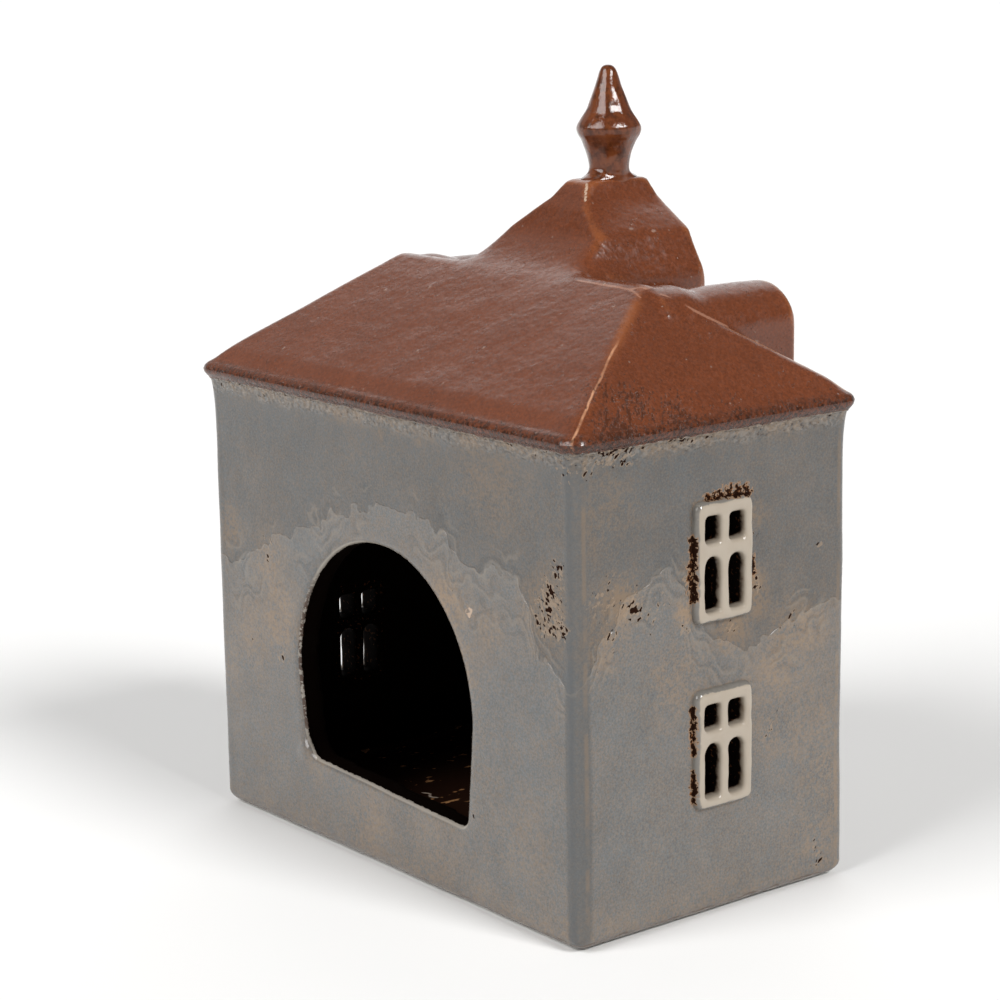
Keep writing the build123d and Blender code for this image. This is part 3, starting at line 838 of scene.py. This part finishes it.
def sponge(piece, grain, rounds, waves=(), swell=0.0):
    """Turns a piece into even facets, rounds its edges and lets it swell and bulge."""
    even = piece.modifiers.new("even", "REMESH")
    even.mode = "VOXEL"
    even.voxel_size = grain
    even.use_smooth_shade = True
    soft = piece.modifiers.new("soft", "SMOOTH")
    soft.factor = 0.5
    soft.iterations = rounds
    if swell:
        plump = piece.modifiers.new("plump", "DISPLACE")
        plump.strength, plump.mid_level = swell, 0
    for size, depth in waves:
        cloud = bpy.data.textures.new("hand_work", "CLOUDS")
        cloud.noise_scale = size
        cloud.noise_depth = 1
        bulge = piece.modifiers.new("bulge", "DISPLACE")
        bulge.texture = cloud
        bulge.strength = depth
        bulge.texture_coords = "LOCAL"
    return fire(piece)


def facing(node):
    """The thin axis of a window or door, its outward sign and its wall's plane."""
    low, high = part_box(node)
    axis = 0 if high.x - low.x < high.y - low.y else 1
    outward = 1 if low[axis] > 0 else -1
    return axis, outward, low[axis] if outward > 0 else high[axis]


def corners(node):
    """The two corners of a node's box in millimetres."""
    return (np.array(corner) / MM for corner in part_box(node))


def opening(form, low, high):
    """Adds a block between two corners to a cutter."""
    middle, size = (low + high) / 2, high - low
    place = Matrix.LocRotScale(middle, None, size)
    bmesh.ops.create_cube(form, size=1, matrix=place)


def pierced(node, windows, seat):
    """A copy of a wall with one plain opening behind each window."""
    wall = clay_copy(node, node + "_clay")
    form = bmesh.new()
    for window in windows:
        axis, outward, plane = facing(window)
        low, high = (Vector(corner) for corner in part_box(window))
        low, high = low + Vector((seat,) * 3), high - Vector((seat,) * 3)
        ends = sorted((plane + outward * seat, plane - outward * OPENING_DEPTH))
        low[axis], high[axis] = ends
        opening(form, low, high)
    if node == "facade_wall":
        low = Vector((-6.7, half_depth - OPENING_DEPTH / MM, 29.1)) * MM
        high = Vector((6.7, half_depth + 1, 39.2)) * MM
        opening(form, low, high)
    cutter = modelled("cutter", form)
    cut = wall.modifiers.new("cut", "BOOLEAN")
    cut.object = cutter
    cut.operation = "DIFFERENCE"
    cut.solver = "EXACT"
    fire(wall)
    bpy.data.objects.remove(cutter)
    return wall


def vectors(items, name):
    """One vector of each vertex."""
    flat = np.empty(len(items) * 3, np.float32)
    items.foreach_get(name, flat)
    return flat.reshape(-1, 3).astype(float)


def places(mesh):
    """The vertices' places in millimetres."""
    return vectors(mesh.vertices, "co") / MM


def paint(mesh, **marks):
    """Paints the vertices with a number for each kind of mark."""
    for name, values in marks.items():
        layer = mesh.attributes.new(name, "FLOAT", "POINT")
        layer.data.foreach_set("value", np.asarray(values, np.float32))


def blots(points, spots):
    """The strongest of some soft round spots at each point."""
    strength = np.zeros(len(points))
    for x, y, z, radius, most in spots:
        gap = np.linalg.norm(points - (x, y, z), axis=1) / radius
        strength = np.maximum(strength, most * np.clip(1.3 - gap, 0, 1))
    return strength


def above_dip(points):
    """Height over the edge of the second dip, on the wall that each point is nearest to."""
    x, y, z = points.T
    gaps = np.abs([y + half_depth, half_length - x, half_depth - y, x + half_length])
    edges = [
        np.interp(along, *zip(*SECOND_DIP[wall]))
        for wall, along in (("arch", x), ("right", y), ("facade", x), ("left", y))
    ]
    return z - np.choose(gaps.argmin(axis=0), edges)


class Net:
    """The vertices of a mesh, and which of them are neighbours."""

    def __init__(self, mesh):
        self.mesh, self.points = mesh, places(mesh)
        edges = np.empty(len(mesh.edges) * 2, np.int32)
        mesh.edges.foreach_get("vertices", edges)
        self.first, self.second = edges.reshape(-1, 2).T
        self.ends = np.concatenate([self.first, self.second])
        self.starts = np.concatenate([self.second, self.first])
        self.count = np.maximum(np.bincount(self.ends, minlength=len(self.points)), 1)

    def around(self, values):
        """The mean of each vertex's neighbours."""
        if values.ndim == 2:
            return np.stack([self.around(axis) for axis in values.T], axis=1)
        return np.bincount(self.ends, values[self.starts], len(values)) / self.count

    def normals(self):
        """The vertices' normals."""
        return vectors(self.mesh.vertex_normals, "vector")

    def settle(self, share_of_way, rounds):
        """Moves the vertices part of the way to their neighbours' mean, a few times."""
        for _ in range(rounds):
            self.points += (self.around(self.points) - self.points) * share_of_way[:, None]

    def worn(self, rounds=3):
        """How sharply the surface bends outwards at each vertex, softened."""
        bend = ((self.points - self.around(self.points)) * self.normals()).sum(axis=1)
        for _ in range(rounds):
            bend = self.around(bend)
        return np.clip(bend / 0.05, 0, 1)

    def inside(self):
        """1 on the room's side of the shell, found by spreading over the outside."""
        closed = in_openings(self.points)
        reached = (self.points[:, 2] < 0.6) & ~closed
        while True:
            border = reached[self.first] != reached[self.second]
            fresh = np.concatenate([self.first[border], self.second[border]])
            fresh = fresh[~reached[fresh] & ~closed[fresh]]
            if not len(fresh):
                return 1.0 - reached
            reached[fresh] = True

    def put(self):
        """Writes the places back to the mesh."""
        self.mesh.vertices.foreach_set("co", (self.points * MM).astype(np.float32).ravel())
        self.mesh.update()


def ease(values, start, end):
    """A soft step from 0 at start to 1 at end."""
    step = np.clip((values - start) / (end - start), 0, 1)
    return step * step * (3 - 2 * step)


def strips(points, lines):
    """1 in the middle of some straight strips, falling off to 0 round them."""
    strength = np.zeros(len(points))
    for start, end, radius in lines:
        start, way = np.array(start), np.subtract(end, start)
        along = np.clip((points - start) @ way / (way @ way), 0, 1)
        gap = np.linalg.norm(points - start - along[:, None] * way, axis=1) / radius
        strength = np.maximum(strength, np.clip(1.4 - gap * 0.7, 0, 1))
    return strength


def segments(lines, radius):
    """The straight strips along some lines of points."""
    return [(start, end, radius) for line in lines for start, end in zip(line, line[1:])]


def frame_lines(points):
    """1 along the outlines of the windows and the door, falling off on the wall."""
    strength = np.zeros(len(points))
    for node in WINDOWS + ["front_door"]:
        low, high = corners(node)
        axis, _, plane = facing(node)
        beyond = np.maximum(low - points, points - high)
        beyond[:, axis] = np.abs(points[:, axis] - plane / MM) - 1.5
        gap = beyond.max(axis=1)
        strength = np.maximum(strength, np.clip(1 - gap / 1.6, 0, 1) * (gap > -1.5))
    return strength


def in_openings(points):
    """Which points lie in the thickness of a wall, inside the arch or a window."""
    x, y, z = points.T
    found = (y < -inner_half_depth - 1) & (y > -half_depth + 1.3) & (np.abs(x) < 60) & (z > 5) & (z < 95)
    for window in WINDOWS:
        low, high = corners(window)
        axis, outward, plane = facing(window)
        deep = (plane / MM - points[:, axis]) * outward
        across = 1 - axis
        found |= (
            (deep > 1) & (deep < 3.6)
            & (points[:, across] > low[across]) & (points[:, across] < high[across])
            & (z > low[2]) & (z < high[2])
        )
    found |= (y > half_depth - 3.6) & (y < half_depth - 1) & (np.abs(x) < 8) & (z > 28) & (z < 40)
    return found


def cut_at(shell, name, height, keep_below):
    """One side of the shell at a height, closed again where it is cut."""
    form = bmesh.new()
    form.from_mesh(shell.data)
    geometry = form.verts[:] + form.edges[:] + form.faces[:]
    cut = bmesh.ops.bisect_plane(
        form, geom=geometry, plane_co=(0, 0, height), plane_no=(0, 0, 1),
        clear_outer=keep_below, clear_inner=not keep_below,
    )
    rim = [part for part in cut["geom_cut"] if isinstance(part, bmesh.types.BMEdge)]
    lid = bmesh.ops.triangle_fill(form, edges=rim, use_beauty=True, use_dissolve=False)
    for face in lid["geom"]:
        if isinstance(face, bmesh.types.BMFace):
            face.smooth = False
    for edge in rim:
        edge.smooth = False
    bmesh.ops.recalc_face_normals(form, faces=form.faces)
    return modelled(name, form)


def cast_piece(node, depth, grain, rounds, wave_size, wave):
    """A window or door whose back reaches through its wall, in soft even facets."""
    axis, outward, plane = facing(node)
    piece = clay_copy(node, "cast_" + node)
    for vertex in piece.data.vertices:
        if abs(vertex.co[axis] - plane) < 0.01 * MM:
            vertex.co[axis] -= outward * depth
    sponge(piece, grain, rounds, ((wave_size * MM, wave * MM),), FRAME_SWELL)
    points = places(piece.data)
    low, high = corners(node)
    across = 1 - axis
    sides = [(points[:, across] - low[across]) * 0.5, high[across] - points[:, across]]
    sides += [points[:, 2] - low[2], high[2] - points[:, 2]]
    paint(
        piece.data,
        proud=(points[:, axis] - plane / MM) * outward,
        margin=np.min(sides, axis=0),
        burnt=strips(points, BURNT),
        ledge=np.clip(Net(piece.data).normals()[:, 2], 0, 1),
    )
    return piece


def turned(name, profile, sides, flute_depth=0.0, fluted=()):
    """A closed ring or disc turned from a profile of (radius, height) points."""
    rings = []
    for index, (radius, height) in enumerate(profile):
        rings.append([])
        for side in range(sides):
            angle = math.tau * side / sides
            reach = radius + (flute_depth * (side % 4 < 2) if index in fluted else 0)
            rings[-1].append((reach * math.cos(angle), reach * math.sin(angle), height))
    return skinned(name, rings)


def direction(azimuth, elevation):
    """The way to a point on the sky, from its angles in degrees."""
    turn, rise = math.radians(azimuth), math.radians(elevation)
    level = math.cos(rise)
    return Vector((level * math.cos(turn), level * math.sin(turn), math.sin(rise)))


def round_part(node):
    """The middle of a round node's foot, its radius and its height."""
    low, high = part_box(node)
    foot = Vector(((low.x + high.x) / 2, (low.y + high.y) / 2, low.z))
    return foot, (high.x - low.x) / 2, high.z - low.z


def arc(middle, radius, start, end, steps):
    """Points of an arc in a profile, with angles in degrees."""
    angles = [math.radians(start + (end - start) * step / steps) for step in range(steps + 1)]
    return [(middle[0] + radius * math.cos(a), middle[1] + radius * math.sin(a)) for a in angles]


# Operators


class MakeShell(bpy.types.Operator):
    """Fuses the clay walls and the clay roof and glazes them"""

    bl_idname = "tealight_house.shell"
    bl_label = "Walls and roof"

    def execute(self, context):
        settings = context.scene.tealight_house
        clay = settings.clay
        pieces = []
        for node in WALLS + ROOF:
            if node in SET_IN:
                pieces.append(pierced(node, SET_IN[node], clay.seat))
            else:
                pieces.append(clay_copy(node, node + "_clay"))
        form = bmesh.new()
        for piece in pieces:
            form.from_mesh(piece.data)
            bpy.data.objects.remove(piece)
        shell = modelled("shell", form)
        waves = ((clay.wave_size, clay.wave), (clay.wave_size / 4, clay.wave / 5))
        sponge(shell, clay.shell_grain, clay.rounding, waves)

        net = Net(shell.data)
        inside = net.inside()
        self.finish_by_hand(net, inside, clay)
        points = net.points
        paint(
            shell.data,
            inside=inside,
            above_dip=above_dip(points),
            worn=net.worn(),
            pitted=blots(points, PITTED),
            stained=np.maximum(blots(points, STAINED), frame_lines(points) * 0.7),
            burnt=strips(points, BURNT),
            drip=strips(points, segments(DRIPS_AND_GLINTS, 0.5)),
            seam=strips(points, segments(RIDGE_HIGHLIGHTS, 0.5)),
        )
        glaze = shell_glaze("house_glaze", settings.walls, settings.roof, settings.cast)
        for name, below, nodes, slot in (
            ("glazed_walls", True, WALLS, "wall_glaze"),
            ("glazed_roof", False, ROOF, "roof_glaze"),
        ):
            piece = cut_at(shell, name, (eave_line - 0.3) * MM, below)
            piece.data.materials.append(glaze)
            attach(piece, "house")
            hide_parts(*nodes)
        bpy.data.objects.remove(shell)
        return {"FINISHED"}

    def finish_by_hand(self, net, inside, clay):
        """Gives the shell the forms that the potter's hand and the glaze leave."""
        # The tower runs into the slope in a fillet
        x, y, z = net.points.T
        fillet = np.exp(-((y - 1.5) ** 2 + (z - 149) ** 2) / 40) * (1 - ease(np.abs(x), 21, 25))
        net.settle(0.9 * fillet, 60)

        # Glaze builds out the walls, the eaves' nose, the hollow under it and the arch's foot
        x, y, z = net.points.T
        outside = (1 - inside) * ease(z, 0.3, 1.5)
        lip = np.exp(-(((z - eave_line - 0.6) / 1.2) ** 2))
        cove = np.exp((np.minimum(z, wall_top) - wall_top) / 3.6) * (1 - ease(z, wall_top, eave_line))
        roll = np.exp(-((x + 35.5) ** 2 + (z - 23.5) ** 2) / 8) * (y < -half_depth + 2)
        build = (clay.glaze + clay.lip * (lip + roll) + clay.cove * cove) / MM * outside
        net.points += net.normals() * build[:, None]

        # The ridge stands higher, the dormers lie lower and the eaves' nose hangs
        x, y, z = net.points.T
        beyond = np.maximum(np.abs(x) - half_length, np.abs(y) - half_depth)
        top, in_tower = ease(z, 155.5, 167), ease(z, 147, 153)
        behind = ease(y, 10, 18) * (1 - ease(28 - np.abs(x), 0, 4))
        lift = clay.ridge_lift * ease(z, 124, 147) * (1 - in_tower) * (1 - ease(y, 10, 18))
        lift -= clay.dormer_sink * ease(z, 136, 146) * behind
        lift -= clay.droop * ease(beyond, -4, 1.5) * ease(z, 117, 119.5) * (z < 130)

        # The tower's top is narrow and deep, its foot flares, its edge to the arch is tucked in
        tower_y = (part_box("finial")[0].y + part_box("finial")[1].y) / 2 / MM
        front = ease(tower_y - y, 2, 6)
        shoulder, bend = ease(z, 160, 168) * front, np.exp(-(((z - 156) / 4) ** 2)) * front
        side = ease(np.abs(x), 18.5, 21) * (1 - ease(np.abs(x), 24.5, 27)) * np.clip((y - 5) / 30, 0, 1)
        flare = 2 * side * ease(z, 138, 143) * (1 - ease(z, 144, 154))
        forward = np.clip((tower_y - y) / 22, 0, 1)
        tuck = 2.2 * forward * ease(x, 5, 16) * ease(z, 146, 152) * (1 - ease(z, 160, 167))

        # The walls draw in at their foot
        heel = 1.3 * (1 - ease(z, -0.5, 3.5))
        x = x - np.sign(x) * heel * ease(np.abs(x), half_length - 8, half_length - 1)
        y = y - np.sign(y) * heel * ease(np.abs(y), half_depth - 8, half_depth - 1)
        net.points[:] = np.stack([
            x * (1 - 0.31 * top) + clay.tower_lean / MM * in_tower + np.sign(x) * flare - tuck,
            y + (y - tower_y) * (0.36 * top + 0.16 * shoulder) + 1.2 * bend,
            z + lift / MM,
        ], axis=1)
        net.put()


class MakeFinial(bpy.types.Operator):
    """Models the faceted finial, which flares on to the tower"""

    bl_idname = "tealight_house.finial"
    bl_label = "Finial"

    def execute(self, context):
        settings = context.scene.tealight_house
        low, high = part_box("finial")
        middle = (low + high) / 2
        tip = high.z / MM
        heights, radii = zip(*smooth_line(FINIAL, 6))
        sides, rings = 48, []
        for height, radius in zip(heights, radii):
            foot = max(0.0, min(1.0, (height - 26.2) / 2.4))
            rings.append([])
            for side in range(sides):
                angle = math.tau * side / sides
                facet = math.cos(math.pi / 8) / math.cos(angle % (math.pi / 4) - math.pi / 8)
                reach = radius * (1 + (facet - 1) * 0.45) * MM
                rings[-1].append((
                    middle.x + reach * math.cos(angle) * (1 - 0.36 * foot),
                    middle.y + reach * math.sin(angle) * (1 + 0.16 * foot),
                    (tip - height) * MM,
                ))
        finial = skinned("roof_finial", rings[::-1])
        sponge(finial, settings.clay.cast_grain * 0.7, FINIAL_ROUNDS, ((6 * MM, 0.4 * MM),))
        for vertex in finial.data.vertices:
            vertex.co.x += settings.clay.tower_lean
        finial.data.materials.append(finial_glaze("finial_glaze", settings.roof))
        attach(finial, "house")
        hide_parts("finial")
        return {"FINISHED"}


class MakeWindows(bpy.types.Operator):
    """Casts the windows and sets them in the walls, the dormers and the tower"""

    bl_idname = "tealight_house.windows"
    bl_label = "Windows"

    def execute(self, context):
        settings = context.scene.tealight_house
        clay = settings.clay
        glaze = cream_glaze("window_glaze", settings.walls, settings.cast)
        for wall, windows in SET_IN.items():
            depth = THIN_FRAME_DEPTH if wall in THIN_SHELLS else FRAME_DEPTH
            for window in windows:
                piece = cast_piece(window, depth, clay.cast_grain, FRAME_ROUNDS, 6, 0.5)
                piece.data.materials.append(glaze)
                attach(piece, "house")
                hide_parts(window)
        return {"FINISHED"}


class MakeDoor(bpy.types.Operator):
    """Casts the front door with its two lights"""

    bl_idname = "tealight_house.door"
    bl_label = "Front door"

    def execute(self, context):
        settings = context.scene.tealight_house
        grain = settings.clay.cast_grain * 0.8
        piece = cast_piece("front_door", FRAME_DEPTH, grain, DOOR_ROUNDS, 5, 0.2)
        piece.data.materials.append(cream_glaze("door_glaze", settings.walls, settings.cast, 0.2))
        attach(piece, "house")
        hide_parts("front_door")
        return {"FINISHED"}


class MakeTealight(bpy.types.Operator):
    """Makes the tealight's fluted cup, wax, wick and sustainer"""

    bl_idname = "tealight_house.tealight"
    bl_label = "Tealight"

    def execute(self, context):
        tealight = context.scene.tealight_house.tealight
        middle, radius, tall = round_part("tealight_cup")
        bead, wall = tealight.bead_radius, tealight.wall
        radius -= bead
        inner = radius - wall
        sides = tealight.flutes * 4
        profile = [(radius - 1.4 * MM, 0), (radius - 0.4 * MM, 0.1 * MM), (radius - 0.15 * MM, 0.6 * MM)]
        profile += [(radius - 0.15 * MM, rise * MM) for rise in (1.6, 2.0, 12.6, 13.2)]
        profile += [(radius, 14.2 * MM)]
        profile += arc((radius, tall - bead), bead, -60, 180, 10)
        profile += [(inner, tall - 1.5 * MM), (inner, 1.2 * MM), (inner - 0.8 * MM, wall)]
        cup = turned("fluted_cup", profile, sides, tealight.flute_depth, (4, 5))
        cup.location = middle
        cup.data.materials.append(foil("foil"))
        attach(cup, "tealight")
        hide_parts("tealight_cup")

        foot, brim, tall = round_part("tealight_wax")
        core = round_part("tealight_wick")[1] + 0.1 * MM
        profile = [(core, 0.9 * MM), (brim - 0.6 * MM, 0.2 * MM), (brim, 1.0 * MM), (brim, tall)]
        profile += arc((brim - 1.2 * MM, tall + 0.45 * MM), 1.2 * MM, -20, -90, 6)[1:]
        profile += [(brim * 0.6, tall - 0.85 * MM), (core * 2.4, tall - 0.8 * MM)]
        profile += [(core * 1.3, tall - 0.35 * MM), (core, tall - 0.05 * MM)]
        wax = turned("poured_wax", profile, 96)
        wax.location = Vector((middle.x, middle.y, foot.z))
        wax.data.materials.append(paraffin("paraffin", tealight.wax_colour))
        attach(wax, "tealight")
        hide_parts("tealight_wax")

        self.braid(tealight)
        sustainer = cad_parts["wick_sustainer"]
        sustainer.data.materials.clear()
        sustainer.data.materials.append(tinplate("tinplate"))
        return {"FINISHED"}

    def braid(self, tealight):
        """Three strands wound round each other."""
        middle, radius, tall = round_part("tealight_wick")
        strand = radius * 0.5
        curve = bpy.data.curves.new("braided_wick", "CURVE")
        curve.dimensions = "3D"
        curve.bevel_depth = strand
        curve.bevel_resolution = 2
        curve.use_fill_caps = True
        turns, steps = 5, 60
        for strand_number in range(3):
            line = curve.splines.new("POLY")
            line.points.add(steps)
            for step, point in enumerate(line.points):
                rise = step / steps
                angle = math.tau * (turns * rise + strand_number / 3)
                out = radius - strand
                point.co = (out * math.cos(angle), out * math.sin(angle), rise * tall, 1)
        wick = show("braided_wick", curve)
        wick.location = middle
        wick.data.materials.append(cotton("cotton", tealight.cotton))
        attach(wick, "tealight")
        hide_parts("tealight_wick")


class SetStage(bpy.types.Operator):
    """Sets the camera, the soft light and the pale floor"""

    bl_idname = "tealight_house.stage"
    bl_label = "Stage"

    def execute(self, context):
        stage = context.scene.tealight_house.stage
        self.set_camera(context.scene, stage)
        self.set_light(context.scene, stage)
        form = bmesh.new()
        bmesh.ops.create_grid(form, x_segments=8, y_segments=8, size=25)
        floor = modelled("paper_floor", form)
        floor.data.materials.append(paper("paper", stage.paper))
        return {"FINISHED"}

    def set_camera(self, scene, stage):
        """The photograph's camera, from its angles and its distance."""
        back = direction(stage.azimuth, stage.elevation)
        right = (-back).cross(Vector((0, 0, 1))).normalized()
        up = right.cross(-back)
        place = back * stage.distance + right * stage.aim_right + up * stage.aim_up
        camera = bpy.data.objects.new("camera", bpy.data.cameras.new("camera"))
        camera.data.lens = stage.lens
        camera.data.clip_end = 20
        upright = Matrix((right, up, back)).transposed()
        tilt = Matrix.Rotation(math.radians(stage.roll), 3, "Z")
        camera.matrix_world = (upright @ tilt).to_4x4()
        camera.location = place + Vector((0, 0, stage.aim_height))
        scene.collection.objects.link(camera)
        scene.camera = camera

    def set_light(self, scene, stage):
        """Soft boxes in a room that is pale near the floor and dim above."""
        room = Recipe(bpy.data.worlds.new("room"), "Generated", 1)
        pale = 1 - room.smooth(room.z, 0.06, 0.26)
        strength = stage.room_glow + (1 - stage.room_glow) * pale
        glow = room.node("Background", {"Color": (1, 1, 1), "Strength": strength})
        room.node("OutputWorld", {"Surface": glow})
        scene.world = room.owner
        scene.view_settings.view_transform = "Standard"
        for name, azimuth, elevation, spread, strength in (
            ("key", -94, 37, 36, stage.key),
            ("fill", 8, 39, 20, stage.fill),
            ("bounce", 165, 40, 75, stage.bounce),
            ("rim", 135, 30, 50, stage.rim),
        ):
            lamp = bpy.data.lights.new(name, "SUN")
            lamp.energy = strength
            lamp.angle = math.radians(spread)
            box = bpy.data.objects.new(name, lamp)
            box.rotation_euler = direction(azimuth, elevation).to_track_quat("Z", "Y").to_euler()
            scene.collection.objects.link(box)


class HousePanel(bpy.types.Panel):
    """Lists the steps that make the house"""

    bl_idname = "VIEW3D_PT_tealight_house"
    bl_label = "Tealight House"
    bl_space_type = "VIEW_3D"
    bl_region_type = "UI"
    bl_category = "Tealight House"

    def draw(self, context):
        for step in STEPS:
            self.layout.operator(step.bl_idname)


GROUPS = (
    ClaySettings, WallSettings, RoofSettings, CastSettings, TealightSettings, StageSettings,
    HouseSettings,
)
STEPS = (SetStage, MakeShell, MakeFinial, MakeWindows, MakeDoor, MakeTealight)


def register():
    for part in GROUPS + STEPS + (HousePanel,):
        bpy.utils.register_class(part)
    bpy.types.Scene.tealight_house = PointerProperty(type=HouseSettings)


def unregister():
    del bpy.types.Scene.tealight_house
    for part in reversed(GROUPS + STEPS + (HousePanel,)):
        bpy.utils.unregister_class(part)


def main():
    """Makes the house."""
    register()
    for step in (
        bpy.ops.tealight_house.stage,
        bpy.ops.tealight_house.shell,
        bpy.ops.tealight_house.finial,
        bpy.ops.tealight_house.windows,
        bpy.ops.tealight_house.door,
        bpy.ops.tealight_house.tealight,
    ):
        step()


if __name__ == "__main__":
    main()
